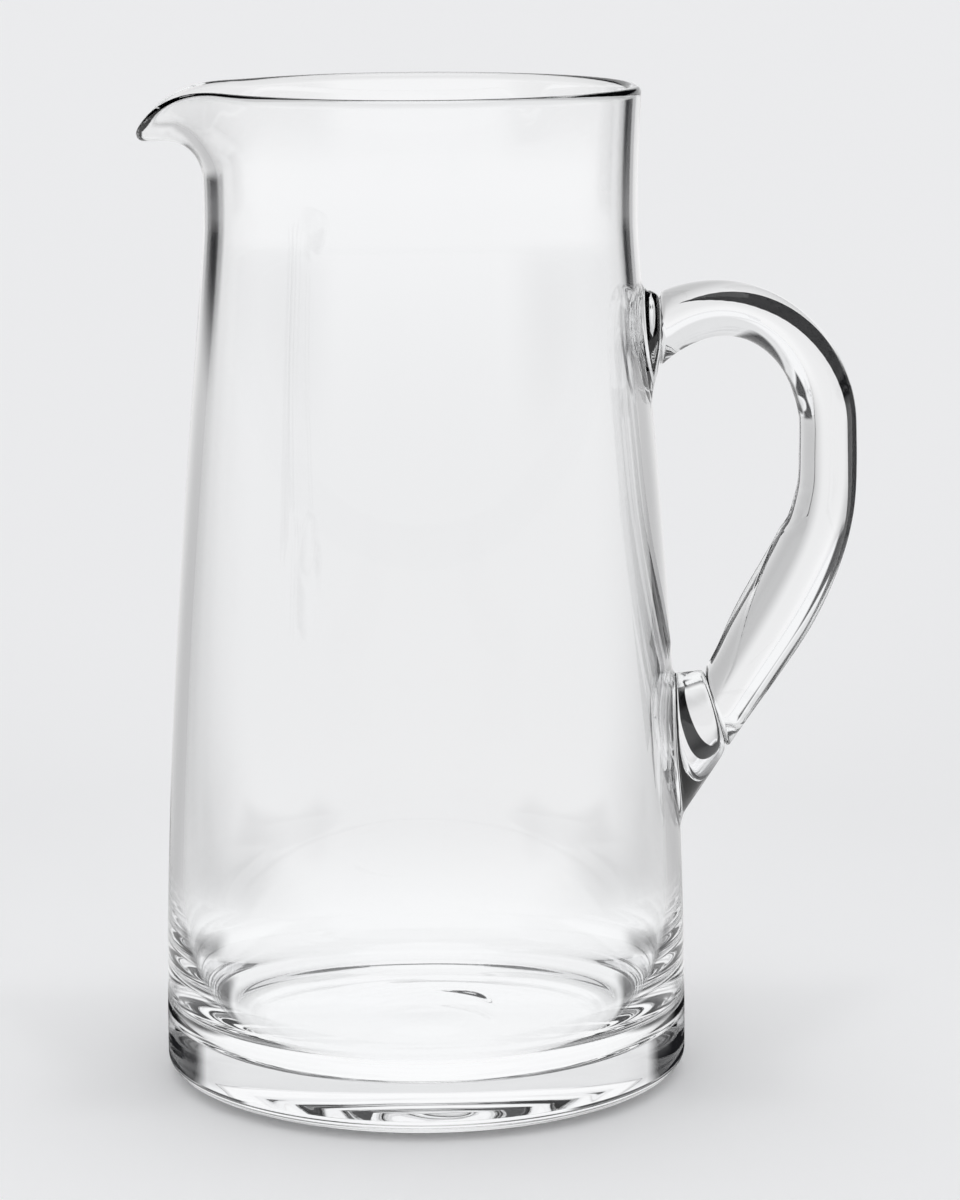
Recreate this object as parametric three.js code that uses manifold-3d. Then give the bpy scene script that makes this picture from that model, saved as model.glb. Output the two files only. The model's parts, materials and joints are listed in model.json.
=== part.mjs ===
// Clear glass pitcher: a tapered wall with a pulled pouring lip, a heavy base and one applied handle.
// Units are millimetres and +Z is up. The pouring lip points to -X and the handle to +X.
// The origin is the centre of the flat underside, on the axis of the vessel.
import * as THREE from "three";
import Module from "manifold-3d";

const wasm = await Module();
wasm.setup();

// Vessel: the outside of the wall and of the base share one curve
const RIM_HEIGHT = 240;
const RIM_RADIUS = 52.6;
const WAIST_RADIUS = 51.6;
const WAIST_BELOW_RIM = 31;
const NECK_UPRIGHT = 16; // length below the waist over which the side keeps upright
const BASE_RADIUS = 63.6;
const SIDE_UPRIGHT = 94; // length above the heel over which the side keeps upright
const WALL = 3.5;

// Heavy base
const SEAM_HEIGHT = 50; // the wall stands on the base here
const HEEL_WIDTH = 10;
const HEEL_HEIGHT = 5;
const FLOOR_HEIGHT = 10;
const FLOOR_RADIUS = 41; // level part of the floor
const FLOOR_RUN = 14; // length over which the bowl leaves the floor level
const BOWL_UPRIGHT = 32; // length below the seam over which the bowl keeps to the wall
const BUTTON_RADIUS = 18; // low swelling in the middle of the floor
const BUTTON_HEIGHT = 0.8;

// Pouring lip: the wall bends outwards here, most at -X and less to both sides
const LIP_BELOW_RIM = 21;
const LIP_BEND_LENGTH = 15.7;
const LIP_BEND = THREE.MathUtils.degToRad(90);
const LIP_STRETCH = 0.1; // the pulled glass is longer than the wall beside it by this share
const LIP_SPREAD = THREE.MathUtils.degToRad(17);

// Handle: the middle line of the cane, in the plane of the pouring lip
const ROOT_BELOW_RIM = 58.5;
const ROOT_CLIMB = THREE.MathUtils.degToRad(36);
const ROOT_PULL = 23.7;
const HANDLE_REACH = 97.3; // from the vessel's axis
const REACH_BELOW_ROOT = 22.7;
const REACH_PULL_UP = 20;
const REACH_PULL_DOWN = 22;
const END_HEIGHT = 88.5;
const END_FALL = THREE.MathUtils.degToRad(58);
const END_PULL = 54.5;
const SQUARE_AFTER = 26; // length of cane over which its rings turn from an end face to square

// Cane: it is drawn thinner over the crown and thicker below the grip
const CANE_WIDTH = 17;
const ROOT_THICKNESS = 14.6;
const CROWN_THICKNESS = 12.8;
const GRIP_THICKNESS = 14.6;
const LOWER_THICKNESS = 18.5;
const END_THICKNESS = 15;
const CROWN_PLACE = 0.2; // places along the cane, from 0 at its root to 1 at its end
const GRIP_PLACE = 0.5;
const LOWER_PLACE = 0.78;

// Upper seal and lower pad: hot glass between the wall and the faces where the cane starts and ends
const SEAL_DEPTH = 3.2;
const SEAL_HALF_HEIGHT = 13;
const SEAL_HALF_WIDTH = 10.5;
const SEAL_DROP = 3.2; // the seal's middle below the root of the cane
const PAD_DEPTH = 10;
const PAD_HALF_HEIGHT = 18;
const PAD_HALF_WIDTH = 11;
const PAD_DROP = 9; // the pad's middle below the end of the cane
const PAD_FACE_TILT = THREE.MathUtils.degToRad(16);
const JOINT_GAP = 0.3;
const SEAL_SINK = 4; // the seals reach this far inside the wall before the wall is cut out of them

// Facets
const COLUMNS = 72;
const BASE_SIDE_STEPS = 5;
const BODY_SIDE_STEPS = 11;
const LIP_STEPS = 8;
const ROUND_STEPS = 4;
const BOWL_STEPS = 9;
const CANE_STEPS = 34;
const CANE_SIDES = 20;
const SEAL_STEPS = 4;
const HALVINGS = 40; // steps of the search for a height on the side curve

const waistHeight = RIM_HEIGHT - WAIST_BELOW_RIM;
const lipHeight = RIM_HEIGHT - LIP_BELOW_RIM;
const rootHeight = RIM_HEIGHT - ROOT_BELOW_RIM;
const halfWall = WALL / 2;

const sideCurve = new THREE.CubicBezierCurve(
  new THREE.Vector2(BASE_RADIUS, HEEL_HEIGHT),
  new THREE.Vector2(BASE_RADIUS, HEEL_HEIGHT + SIDE_UPRIGHT),
  new THREE.Vector2(WAIST_RADIUS, waistHeight - NECK_UPRIGHT),
  new THREE.Vector2(WAIST_RADIUS, waistHeight),
);

// Outside radius of the vessel at a height above the heel
function outerRadius(height) {
  if (height >= waistHeight) {
    const flare = (height - waistHeight) / WAIST_BELOW_RIM;
    return WAIST_RADIUS + (RIM_RADIUS - WAIST_RADIUS) * flare * flare;
  }
  let low = 0;
  let high = 1;
  for (let halving = 0; halving < HALVINGS; halving += 1) {
    const middle = (low + high) / 2;
    if (sideCurve.getPoint(middle).y < height) low = middle;
    else high = middle;
  }
  return sideCurve.getPoint(low).x;
}

// Evenly spaced values from first to last, both included
function spread(first, last, steps) {
  return Array.from({ length: steps + 1 }, (_, step) => first + ((last - first) * step) / steps);
}

const baseHeights = spread(HEEL_HEIGHT, SEAM_HEIGHT, BASE_SIDE_STEPS);
const bodyHeights = spread(SEAM_HEIGHT, lipHeight, BODY_SIDE_STEPS);
const lipHeights = spread(lipHeight, RIM_HEIGHT - halfWall, LIP_STEPS).slice(1);

// Solid through a list of rings with equal counts of points. Each ring runs anticlockwise when it is seen
// from the ring after it. A looped list closes on its first ring, any other has a cap at each end.
function ringSolid(rings, looped) {
  const count = rings[0].length;
  const points = rings.flat();
  const faces = [];
  const lastBand = looped ? rings.length : rings.length - 1;
  for (let band = 0; band < lastBand; band += 1) {
    const here = band * count;
    const next = ((band + 1) % rings.length) * count;
    for (let side = 0; side < count; side += 1) {
      const after = (side + 1) % count;
      faces.push(here + side, here + after, next + after);
      faces.push(here + side, next + after, next + side);
    }
  }
  if (!looped) {
    const lastRing = (rings.length - 1) * count;
    const startMiddle = points.push(middleOf(rings[0])) - 1;
    const endMiddle = points.push(middleOf(rings.at(-1))) - 1;
    for (let side = 0; side < count; side += 1) {
      const after = (side + 1) % count;
      faces.push(startMiddle, after, side);
      faces.push(endMiddle, lastRing + side, lastRing + after);
    }
  }
  const geometry = new THREE.BufferGeometry().setFromPoints(points);
  geometry.setIndex(faces);
  return geometry;
}

function middleOf(ring) {
  const sum = ring.reduce((total, point) => total.add(point), new THREE.Vector3());
  return sum.divideScalar(ring.length);
}

// Ring of points round the vessel's axis, from a function that gives [radius, height] at each angle
function ringRoundAxis(place) {
  return Array.from({ length: COLUMNS }, (_, column) => {
    const angle = (column / COLUMNS) * 2 * Math.PI;
    const [radius, height] = place(angle);
    return new THREE.Vector3(radius * Math.cos(angle), radius * Math.sin(angle), height);
  });
}

// How far the wall bends into the pouring lip at an angle round the axis
function lipBend(angle) {
  const fromLip = (angle - Math.PI) / LIP_SPREAD;
  return Math.exp(-fromLip * fromLip);
}

// Point of the wall above the start of the pouring lip. The offset is measured across the wall from its
// middle, and past runs on beyond the end of the wall in the direction that the wall has there.
function lipPoint(angle, height, offset, past) {
  const bend = lipBend(angle);
  const length = (height - lipHeight) * (1 + LIP_STRETCH * bend);
  const turn = LIP_BEND * bend * Math.min(length / LIP_BEND_LENGTH, 1);
  const bentLength = Math.min(length, LIP_BEND_LENGTH);
  const straight = length - bentLength + past;
  const chord = turn > 0 ? (bentLength * Math.sin(turn / 2)) / (turn / 2) : bentLength;
  const flare = (outerRadius(height) - outerRadius(lipHeight)) * (1 - bend);
  const middle = outerRadius(lipHeight) - halfWall + flare;
  const radius = middle + chord * Math.sin(turn / 2) + straight * Math.sin(turn) + offset * Math.cos(turn);
  const rise = chord * Math.cos(turn / 2) + straight * Math.cos(turn) - offset * Math.sin(turn);
  return [radius, lipHeight + rise];
}

function lipRing(height, offset, past) {
  return ringRoundAxis((angle) => lipPoint(angle, height, offset, past));
}

// Blown wall: up the outside, over the rounded rim and down the inside
function bodyGeometry() {
  const outside = bodyHeights.map((height) => ringRoundAxis(() => [outerRadius(height), height]));
  const lipOutside = lipHeights.map((height) => lipRing(height, halfWall, 0));
  const rim = spread(0, Math.PI, ROUND_STEPS).slice(1, -1).map((turn) => {
    const offset = halfWall * Math.cos(turn);
    const past = halfWall * Math.sin(turn);
    return lipRing(lipHeights.at(-1), offset, past);
  });
  const lipInside = lipHeights.map((height) => lipRing(height, -halfWall, 0));
  const inside = bodyHeights.map((height) => ringRoundAxis(() => [outerRadius(height) - WALL, height]));
  return ringSolid([...outside, ...lipOutside, ...rim, ...lipInside.reverse(), ...inside.reverse()], true);
}

// Heavy base: a turned solid with a flat underside, a rounded heel and a bowl-shaped floor
function baseGeometry() {
  const heel = spread(0, Math.PI / 2, ROUND_STEPS).map((turn) => new THREE.Vector2(
    BASE_RADIUS - HEEL_WIDTH * (1 - Math.sin(turn)),
    HEEL_HEIGHT * (1 - Math.cos(turn)),
  ));
  const side = baseHeights.slice(1).map((height) => new THREE.Vector2(outerRadius(height), height));
  const bowlTop = outerRadius(SEAM_HEIGHT) - WALL;
  const bowl = new THREE.CubicBezierCurve(
    new THREE.Vector2(bowlTop, SEAM_HEIGHT),
    new THREE.Vector2(outerRadius(SEAM_HEIGHT - BOWL_UPRIGHT) - WALL, SEAM_HEIGHT - BOWL_UPRIGHT),
    new THREE.Vector2(FLOOR_RADIUS + FLOOR_RUN, FLOOR_HEIGHT),
    new THREE.Vector2(FLOOR_RADIUS, FLOOR_HEIGHT),
  );
  const button = spread(BUTTON_RADIUS, 0, ROUND_STEPS).map((radius) => new THREE.Vector2(
    radius,
    FLOOR_HEIGHT + (BUTTON_HEIGHT * (1 + Math.cos((Math.PI * radius) / BUTTON_RADIUS))) / 2,
  ));
  const start = new THREE.Vector2(0, 0);
  const profile = [start, ...heel, ...side, ...bowl.getPoints(BOWL_STEPS), ...button];
  return new THREE.LatheGeometry(profile, COLUMNS).rotateX(Math.PI / 2);
}

// Face where the cane starts, upright beside the wall, and face where it ends, on the lower pad
const rootPoint = new THREE.Vector3(outerRadius(rootHeight) + SEAL_DEPTH, 0, rootHeight);
const rootNormal = new THREE.Vector3(1, 0, 0);
const endPoint = new THREE.Vector3(outerRadius(END_HEIGHT) + PAD_DEPTH, 0, END_HEIGHT);
const endNormal = new THREE.Vector3(Math.cos(PAD_FACE_TILT), 0, Math.sin(PAD_FACE_TILT));

const reachHeight = rootHeight - REACH_BELOW_ROOT;
const reachPoint = new THREE.Vector3(HANDLE_REACH, 0, reachHeight);
const rootDirection = new THREE.Vector3(Math.cos(ROOT_CLIMB), 0, Math.sin(ROOT_CLIMB));
const endDirection = new THREE.Vector3(-Math.cos(END_FALL), 0, -Math.sin(END_FALL));

const caneLine = new THREE.CurvePath();
caneLine.add(new THREE.CubicBezierCurve3(
  rootPoint,
  rootPoint.clone().addScaledVector(rootDirection, ROOT_PULL),
  reachPoint.clone().setZ(reachHeight + REACH_PULL_UP),
  reachPoint,
));
caneLine.add(new THREE.CubicBezierCurve3(
  reachPoint,
  reachPoint.clone().setZ(reachHeight - REACH_PULL_DOWN),
  endPoint.clone().addScaledVector(endDirection, -END_PULL),
  endPoint,
));

// Thickness of the cane at each place along it
const thicknesses = [
  [0, ROOT_THICKNESS],
  [CROWN_PLACE, CROWN_THICKNESS],
  [GRIP_PLACE, GRIP_THICKNESS],
  [LOWER_PLACE, LOWER_THICKNESS],
  [1, END_THICKNESS],
];

function caneThickness(share) {
  const next = thicknesses.findIndex(([place]) => place >= share);
  if (next <= 0) return thicknesses[0][1];
  const [from, before] = thicknesses[next - 1];
  const [to, after] = thicknesses[next];
  return THREE.MathUtils.lerp(before, after, THREE.MathUtils.smoothstep(share, from, to));
}

const caneLength = caneLine.getLength();

// Direction that a ring of the cane faces: along the cane, but turned into the end faces near the ends
function ringNormal(share, along) {
  const fromRoot = THREE.MathUtils.smoothstep(share * caneLength, 0, SQUARE_AFTER);
  const fromEnd = THREE.MathUtils.smoothstep((1 - share) * caneLength, 0, SQUARE_AFTER);
  if (fromRoot < 1) return rootNormal.clone().lerp(along, fromRoot);
  return endNormal.clone().negate().lerp(along, fromEnd);
}

// Oval ring of the cane, slid along the cane until it lies on the plane that it faces
function caneRing(share) {
  const middle = caneLine.getPointAt(share);
  const along = caneLine.getTangentAt(share);
  const normal = ringNormal(share, along);
  const sideways = new THREE.Vector3(0, 1, 0);
  const across = new THREE.Vector3().crossVectors(along, sideways);
  const halfThickness = caneThickness(share) / 2;
  return Array.from({ length: CANE_SIDES }, (_, side) => {
    const turn = (side / CANE_SIDES) * 2 * Math.PI;
    const rise = halfThickness * Math.sin(turn);
    const slide = (-rise * across.dot(normal)) / along.dot(normal);
    return middle.clone()
      .addScaledVector(across, rise)
      .addScaledVector(sideways, (CANE_WIDTH / 2) * Math.cos(turn))
      .addScaledVector(along, slide);
  });
}

const rootRing = caneRing(0);
const endRing = caneRing(1);

// Drawn cane between the two faces, with the joint gap at each end
function handleGeometry() {
  const start = rootRing.map((point) => point.clone().addScaledVector(rootNormal, JOINT_GAP));
  const end = endRing.map((point) => point.clone().addScaledVector(endNormal, JOINT_GAP));
  const between = spread(0, 1, CANE_STEPS).slice(1, -1).map(caneRing);
  return ringSolid([start, ...between, end], false);
}

// Hot glass between the wall and one face of the cane. It swells from the face's outline to an oval on
// the wall and runs straight on into the wall. The cane's rings turn upwards where it leaves the wall and
// downwards where it comes back to it, so the oval turns the same way.
function sealRings(faceRing, upwards, height, halfHeight, halfWidth) {
  const wallRadius = outerRadius(height);
  const climb = upwards ? halfHeight : -halfHeight;
  const wallRing = Array.from({ length: CANE_SIDES }, (_, side) => {
    const turn = (side / CANE_SIDES) * 2 * Math.PI;
    return new THREE.Vector3(wallRadius, halfWidth * Math.cos(turn), height + climb * Math.sin(turn));
  });
  const swelling = spread(0, 1, SEAL_STEPS).map((share) => (
    faceRing.map((point, side) => point.clone().lerp(wallRing[side], share))
  ));
  const sunk = wallRing.map((point) => point.clone().setX(wallRadius - SEAL_SINK));
  const outwardIn = [...swelling, sunk];
  return upwards ? outwardIn.reverse() : outwardIn;
}

function solidOf(geometry) {
  return new wasm.Manifold(new wasm.Mesh({
    numProp: 3,
    vertProperties: geometry.getAttribute("position").array,
    triVerts: Uint32Array.from(geometry.getIndex().array),
  }));
}

function geometryOf(solid) {
  const { vertProperties, triVerts } = solid.getMesh();
  const geometry = new THREE.BufferGeometry();
  geometry.setAttribute("position", new THREE.BufferAttribute(vertProperties, 3));
  geometry.setIndex(new THREE.BufferAttribute(triVerts, 1));
  return geometry;
}

// The vessel's outside, filled and grown by the joint gap
const envelopeHeights = [...baseHeights, ...bodyHeights.slice(1)];
const envelope = solidOf(ringSolid(
  envelopeHeights.map((height) => ringRoundAxis(() => [outerRadius(height) + JOINT_GAP, height])),
  false,
));

function upperSealGeometry() {
  const rings = sealRings(rootRing, true, rootHeight - SEAL_DROP, SEAL_HALF_HEIGHT, SEAL_HALF_WIDTH);
  return geometryOf(solidOf(ringSolid(rings, false)).subtract(envelope));
}

function lowerPadGeometry() {
  const rings = sealRings(endRing, false, END_HEIGHT - PAD_DROP, PAD_HALF_HEIGHT, PAD_HALF_WIDTH);
  return geometryOf(solidOf(ringSolid(rings, false)).subtract(envelope));
}

function glass() {
  return new THREE.MeshStandardMaterial({
    color: 0xeef1f3,
    roughness: 0.03,
    metalness: 0,
    transparent: true,
    opacity: 0.35,
  });
}

const pitcher = new THREE.Group();

function addPiece(name, geometry) {
  const piece = new THREE.Mesh(geometry, glass());
  piece.name = name;
  pitcher.add(piece);
}

addPiece("body", bodyGeometry());
addPiece("base", baseGeometry());
addPiece("upper_seal", upperSealGeometry());
addPiece("handle", handleGeometry());
addPiece("lower_pad", lowerPadGeometry());

export default pitcher;
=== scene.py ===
# %% [markdown]
# # A clear glass pitcher
# The pitcher is hand-worked glass: a blown body with a pulled pouring lip, a heavy base, a drawn handle,
# and two dabs of hot glass that hold the handle to the wall. The five solids are loaded as a fixed frame at
# their real size. This lesson gives each of them a finer mesh in the same place, and a glass that bends
# light.

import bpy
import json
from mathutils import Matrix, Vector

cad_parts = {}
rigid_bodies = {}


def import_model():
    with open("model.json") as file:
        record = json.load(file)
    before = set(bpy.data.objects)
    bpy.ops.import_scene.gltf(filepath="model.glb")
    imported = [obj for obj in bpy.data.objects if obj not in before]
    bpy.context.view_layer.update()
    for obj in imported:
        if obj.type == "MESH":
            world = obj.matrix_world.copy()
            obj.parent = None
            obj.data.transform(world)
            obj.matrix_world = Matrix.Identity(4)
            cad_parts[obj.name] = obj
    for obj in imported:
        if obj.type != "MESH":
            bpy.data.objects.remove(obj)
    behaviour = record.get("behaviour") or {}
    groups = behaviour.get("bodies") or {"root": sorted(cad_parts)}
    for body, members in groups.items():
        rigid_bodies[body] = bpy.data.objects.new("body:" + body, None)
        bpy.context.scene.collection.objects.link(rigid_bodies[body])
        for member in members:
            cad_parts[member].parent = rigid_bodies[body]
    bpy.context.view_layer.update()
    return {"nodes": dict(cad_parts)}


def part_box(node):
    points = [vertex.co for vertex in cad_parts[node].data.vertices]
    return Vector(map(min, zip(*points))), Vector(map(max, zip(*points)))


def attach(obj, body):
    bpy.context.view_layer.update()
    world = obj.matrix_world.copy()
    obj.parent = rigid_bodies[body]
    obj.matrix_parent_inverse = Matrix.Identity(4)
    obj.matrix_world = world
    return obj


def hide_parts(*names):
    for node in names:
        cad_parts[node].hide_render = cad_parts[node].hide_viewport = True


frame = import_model()
print("solids in the frame:", sorted(frame["nodes"]))

# %% [markdown]
# ## Sizes
# Every length is in metres, so a millimetre gets a short name. The foot and the height of the seam are read
# from the frame. The other sizes describe curves, which a box around a solid can't tell.

# %% Sizes of the vessel
import json
from math import pi, radians

import bmesh
import bpy
import numpy as np
from mathutils import Matrix, Vector

MM = 0.001
_, base_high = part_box("base")
FOOT_RADIUS = base_high.x
SEAM_HEIGHT = base_high.z
HEEL_WIDTH = 10 * MM
HEEL_HEIGHT = 5 * MM
SIDE_UPRIGHT = 94 * MM
WAIST_RADIUS = 51.6 * MM
WAIST_HEIGHT = 209 * MM
NECK_UPRIGHT = 16 * MM
RIM_RADIUS = 52.6 * MM
RIM_HEIGHT = 240 * MM
WALL = 3.5 * MM
print(f"foot radius {FOOT_RADIUS / MM:.1f} mm, seam at {SEAM_HEIGHT / MM:.1f} mm")

# %% [markdown]
# ## Camera
# The picture is taken from a little above the rim with a long lens, which keeps the sides nearly parallel.
# The camera stands on a circle round the pitcher and aims slightly to the right of it, where the handle is.

# %% Camera
CAMERA_DISTANCE = 1.0
CAMERA_HEIGHT_AIM = 116 * MM
CAMERA_ELEVATION = radians(10.84)
CAMERA_TURN = radians(-0.8)
CAMERA_ROLL = radians(-0.3)
SENSOR = 36
LENS = 123.9

camera_data = bpy.data.cameras.new("camera")
camera_data.sensor_width = SENSOR
camera_data.lens = LENS
camera = bpy.data.objects.new("camera", camera_data)
bpy.context.scene.collection.objects.link(camera)
bpy.context.scene.camera = camera
back = Vector((0, -np.cos(CAMERA_ELEVATION), np.sin(CAMERA_ELEVATION)))
place = Matrix.Translation(Vector((0, 0, CAMERA_HEIGHT_AIM)) + back * CAMERA_DISTANCE)
aim = Matrix.Rotation(CAMERA_TURN, 4, "Z") @ Matrix.Rotation(pi / 2 - CAMERA_ELEVATION, 4, "X")
camera.matrix_world = place @ aim @ Matrix.Rotation(CAMERA_ROLL, 4, "Z")
print("camera at", [round(x, 3) for x in camera.matrix_world.translation])

# %% [markdown]
# ## Studio
# Clear glass shows only by what it bends and mirrors, so a pale floor under an even pale sky would hide it.
# Lines could be painted on the glass, but they would be wrong from every other side. A photographer sets
# dark cloth round such a piece instead, and the glass draws it as dark lines along its walls. That is done
# here too: the cloth, a light table and small flags hang on a turning point that always faces the camera,
# as a photographer would carry them round, and only the glass sees them.

# %% Helpers for objects and plain materials
STAGE_SIDES = 128


def start_clean():
    if bpy.context.mode != "OBJECT":
        bpy.ops.object.mode_set(mode="OBJECT")
    bpy.ops.object.select_all(action="DESELECT")


def lay_disc(name, radius, gap):
    start_clean()
    bpy.ops.mesh.primitive_circle_add(vertices=STAGE_SIDES, radius=radius, fill_type="NGON")
    disc = bpy.context.object
    disc.name = name
    bpy.ops.object.mode_set(mode="EDIT")
    bpy.ops.transform.translate(value=(0, 0, -gap))
    bpy.ops.object.mode_set(mode="OBJECT")
    return disc


def plain_material(name, colour, roughness):
    material = bpy.data.materials.new(name)
    material.use_nodes = True
    shader = material.node_tree.nodes["Principled BSDF"]
    shader.inputs["Base Color"].default_value = (*colour, 1)
    shader.inputs["Roughness"].default_value = roughness
    return material


def show_in_glass_only(prop):
    prop.visible_camera = False
    prop.visible_diffuse = False
    prop.visible_shadow = False


# %% Helpers for masks
def own_place(tree):
    return tree.nodes.new("ShaderNodeTexCoord").outputs["Object"]


def own_parts(tree):
    parts = tree.nodes.new("ShaderNodeSeparateXYZ")
    tree.links.new(own_place(tree), parts.inputs["Vector"])
    return parts.outputs


def distance_from_middle(tree):
    length = tree.nodes.new("ShaderNodeVectorMath")
    length.operation = "LENGTH"
    tree.links.new(own_place(tree), length.inputs["Vector"])
    return length.outputs["Value"]


def combine(tree, operation, *values):
    node = tree.nodes.new("ShaderNodeMath")
    node.operation = operation
    for socket, value in zip(node.inputs, values):
        if isinstance(value, (int, float)):
            socket.default_value = value
        else:
            tree.links.new(value, socket)
    return node.outputs["Value"]


def opposite(tree, mask):
    return combine(tree, "SUBTRACT", 1, mask)


def soft_step(tree, value, low, high):
    step = tree.nodes.new("ShaderNodeMapRange")
    step.interpolation_type = "SMOOTHSTEP"
    tree.links.new(value, step.inputs["Value"])
    step.inputs["From Min"].default_value = low
    step.inputs["From Max"].default_value = high
    return step.outputs["Result"]


def soft_band(tree, value, start, end):
    return combine(tree, "SUBTRACT", soft_step(tree, value, *start), soft_step(tree, value, *end))


def blend(tree, share, *colours):
    mix = tree.nodes.new("ShaderNodeMix")
    mix.data_type = "RGBA"
    tree.links.new(share, mix.inputs["Factor"])
    for letter, colour in zip("AB", colours):
        socket = next(s for s in mix.inputs if s.name == letter and s.type == "RGBA")
        if isinstance(colour, tuple):
            socket.default_value = (*colour, 1)
        else:
            tree.links.new(colour, socket)
    return next(s for s in mix.outputs if s.type == "RGBA")


# %% [markdown]
# ### Floor and sky
# The pitcher stands on pale paper that is a little greyer further away. Round its foot a pool of light is
# painted into the paper's colour, where the glass would otherwise leave a shadow. A lamp could light it, but
# it would also throw a hard shadow, so the light round the foot is painted into the paper and the real light
# comes evenly from the sky.

# %% Floor and sky
FLOOR_RADIUS = 30.0
FLOOR_GAP = 0.3 * MM
# the colour near the foot is a painted pool of light, fading out to the paper's own greyer tone
PAINTED_LIGHT_POOL_COLOUR = (0.99, 0.99, 0.995)
FLOOR_FAR = (0.88, 0.88, 0.885)
PAINTED_LIGHT_POOL_FADE = (0.06, 0.32)
FLOOR_ROUGHNESS = 0.9
SKY_COLOUR = (0.985, 0.99, 1.0)
SKY_STRENGTH = 0.95

floor = lay_disc("floor", FLOOR_RADIUS, FLOOR_GAP)
pale_floor = plain_material("pale_floor", FLOOR_FAR, FLOOR_ROUGHNESS)
paper = pale_floor.node_tree
# painted pool of light: the paper's colour is lighter round the foot, where the glass would cast its shadow
painted_light_share = soft_step(paper, distance_from_middle(paper), *PAINTED_LIGHT_POOL_FADE)
painted_light_tone = blend(paper, painted_light_share, PAINTED_LIGHT_POOL_COLOUR, FLOOR_FAR)
paper.links.new(painted_light_tone, paper.nodes["Principled BSDF"].inputs["Base Color"])
floor.data.materials.append(pale_floor)

sky = bpy.data.worlds.new("sky")
sky.use_nodes = True
sky.node_tree.nodes["Background"].inputs["Color"].default_value = (*SKY_COLOUR, 1)
sky.node_tree.nodes["Background"].inputs["Strength"].default_value = SKY_STRENGTH
bpy.context.scene.world = sky
print("floor", FLOOR_RADIUS, "m, sky", SKY_STRENGTH)

# %% [markdown]
# ### Dark tent
# The tent is a tube of cloth, open at the back. Cut pieces of cloth would need many edges, so one tube is
# used, and a mask in its material says where it is dark and where light goes through. Wings stand at both
# sides, and higher up they come further round. In front they are lifted for the camera. Two low drapes hang
# next to the opening, where the lines of the inner wall look, and a thin veil greys the light from above.

# %% Tube of the tent
TENT_RADIUS = 1.0
TENT_HEIGHT = 2.6

turning_point = bpy.data.objects.new("turning_point", None)
bpy.context.scene.collection.objects.link(turning_point)
facing = turning_point.constraints.new("LOCKED_TRACK")
facing.target = camera
facing.track_axis = "TRACK_NEGATIVE_Y"
facing.lock_axis = "LOCK_Z"

start_clean()
bpy.ops.mesh.primitive_cylinder_add(
    vertices=STAGE_SIDES, radius=TENT_RADIUS, depth=TENT_HEIGHT, end_fill_type="NOTHING"
)
tent = bpy.context.object
tent.name = "dark_tent"
bpy.ops.object.mode_set(mode="EDIT")
bpy.ops.transform.translate(value=(0, 0, TENT_HEIGHT / 2))
bpy.ops.object.mode_set(mode="OBJECT")
tent.parent = turning_point
show_in_glass_only(tent)
print("tent", TENT_HEIGHT, "m high")

# %% Masks of the tent, by bearing from the back and by height
SIDE = (radians(42), radians(52))
SIDE_FOOT = (0.14, 0.24)
HIGH_SIDE = (radians(14), radians(22))
HIGH_FOOT = (0.36, 0.44)
FRONT = (radians(110), radians(140))
FRONT_FOOT = (0.5, 1.0)
LEFT_DRAPE = (radians(20), radians(24))
RIGHT_DRAPE = (radians(29), radians(32))
DRAPE_FOOT = (0.075, 0.135)
DRAPE_HEAD = (0.235, 0.265)
VEIL_FOOT = (0.26, 0.32)
VEIL_SHARE = 0.2

tent_cloth = bpy.data.materials.new("tent_cloth")
tent_cloth.use_nodes = True
cloth = tent_cloth.node_tree
cloth.nodes.clear()
tent_spot = own_parts(cloth)
tent_height = tent_spot["Z"]
bearing = combine(cloth, "ARCTAN2", tent_spot["X"], tent_spot["Y"])
off_back = combine(cloth, "ABSOLUTE", bearing)
sides = soft_step(cloth, off_back, *SIDE)
low_wings = combine(cloth, "MULTIPLY", sides, soft_step(cloth, tent_height, *SIDE_FOOT))
high_sides = soft_step(cloth, off_back, *HIGH_SIDE)
high_wings = combine(cloth, "MULTIPLY", high_sides, soft_step(cloth, tent_height, *HIGH_FOOT))
front = soft_step(cloth, off_back, *FRONT)
under_front = opposite(cloth, soft_step(cloth, tent_height, *FRONT_FOOT))
lifted = opposite(cloth, combine(cloth, "MULTIPLY", front, under_front))
wings = combine(cloth, "MULTIPLY", combine(cloth, "MAXIMUM", low_wings, high_wings), lifted)
left_drape = soft_step(cloth, combine(cloth, "MULTIPLY", bearing, -1), *LEFT_DRAPE)
right_drape = soft_step(cloth, bearing, *RIGHT_DRAPE)
drapes = combine(cloth, "MAXIMUM", left_drape, right_drape)
drapes = combine(cloth, "MULTIPLY", drapes, opposite(cloth, sides))
drapes = combine(cloth, "MULTIPLY", drapes, soft_band(cloth, tent_height, DRAPE_FOOT, DRAPE_HEAD))
veil = combine(cloth, "MULTIPLY", soft_step(cloth, tent_height, *VEIL_FOOT), VEIL_SHARE)
tent_mask = combine(cloth, "MAXIMUM", combine(cloth, "MAXIMUM", wings, drapes), veil)
print("mask of the tent has", len(cloth.nodes), "nodes")

# %% Cloth of the tent: dark where the mask is one, open where it is nought
CLOTH_COLOUR = (0.012, 0.012, 0.014)

dark_cloth = cloth.nodes.new("ShaderNodeBsdfDiffuse")
dark_cloth.inputs["Color"].default_value = (*CLOTH_COLOUR, 1)
layers = cloth.nodes.new("ShaderNodeMixShader")
cloth.links.new(tent_mask, layers.inputs["Fac"])
cloth.links.new(cloth.nodes.new("ShaderNodeBsdfTransparent").outputs["BSDF"], layers.inputs[1])
cloth.links.new(dark_cloth.outputs["BSDF"], layers.inputs[2])
cloth.links.new(layers.outputs["Shader"], cloth.nodes.new("ShaderNodeOutputMaterial").inputs["Surface"])
tent.data.materials.append(tent_cloth)
print("cloth on", tent.name)

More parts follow.
